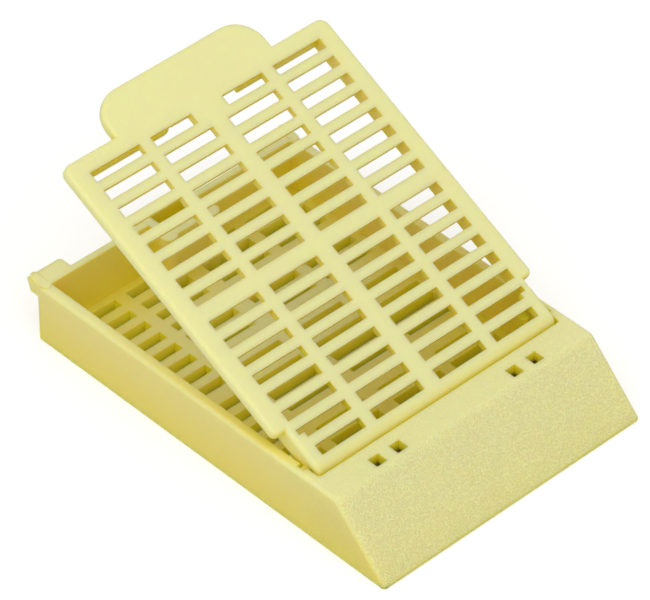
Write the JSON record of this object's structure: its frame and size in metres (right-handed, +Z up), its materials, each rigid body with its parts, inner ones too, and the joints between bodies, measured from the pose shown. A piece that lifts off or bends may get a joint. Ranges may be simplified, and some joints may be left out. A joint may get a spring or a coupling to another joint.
{
  "type": "tissue cassette",
  "caption": "Slotted plastic cassette with a hinged slotted lid held partly open, a sloping writing face, hinge pins, a thumb tab and a catch pocket.",
  "frame": {"origin": "centre of the tray's footprint, without its ears, on its underside", "axes": "+X to the right, +Y from the writing face to the catch, +Z up out of the bowl"},
  "size_m": [0.0284, 0.0417, 0.0218],
  "materials": {
    "plastic": "translucent satin"
  },
  "bodies": {
    "base_tray": {"base_tray": "plastic"},
    "lid": {"lid": "plastic"}
  },
  "joints": [
    {"name": "lid_hinge", "type": "hinge", "parent": "base_tray", "child": "lid", "pos_m": [0, -0.01019, 0.0054], "axis": [1, 0, 0], "range_deg": [-26.6, 73]}
  ]
}
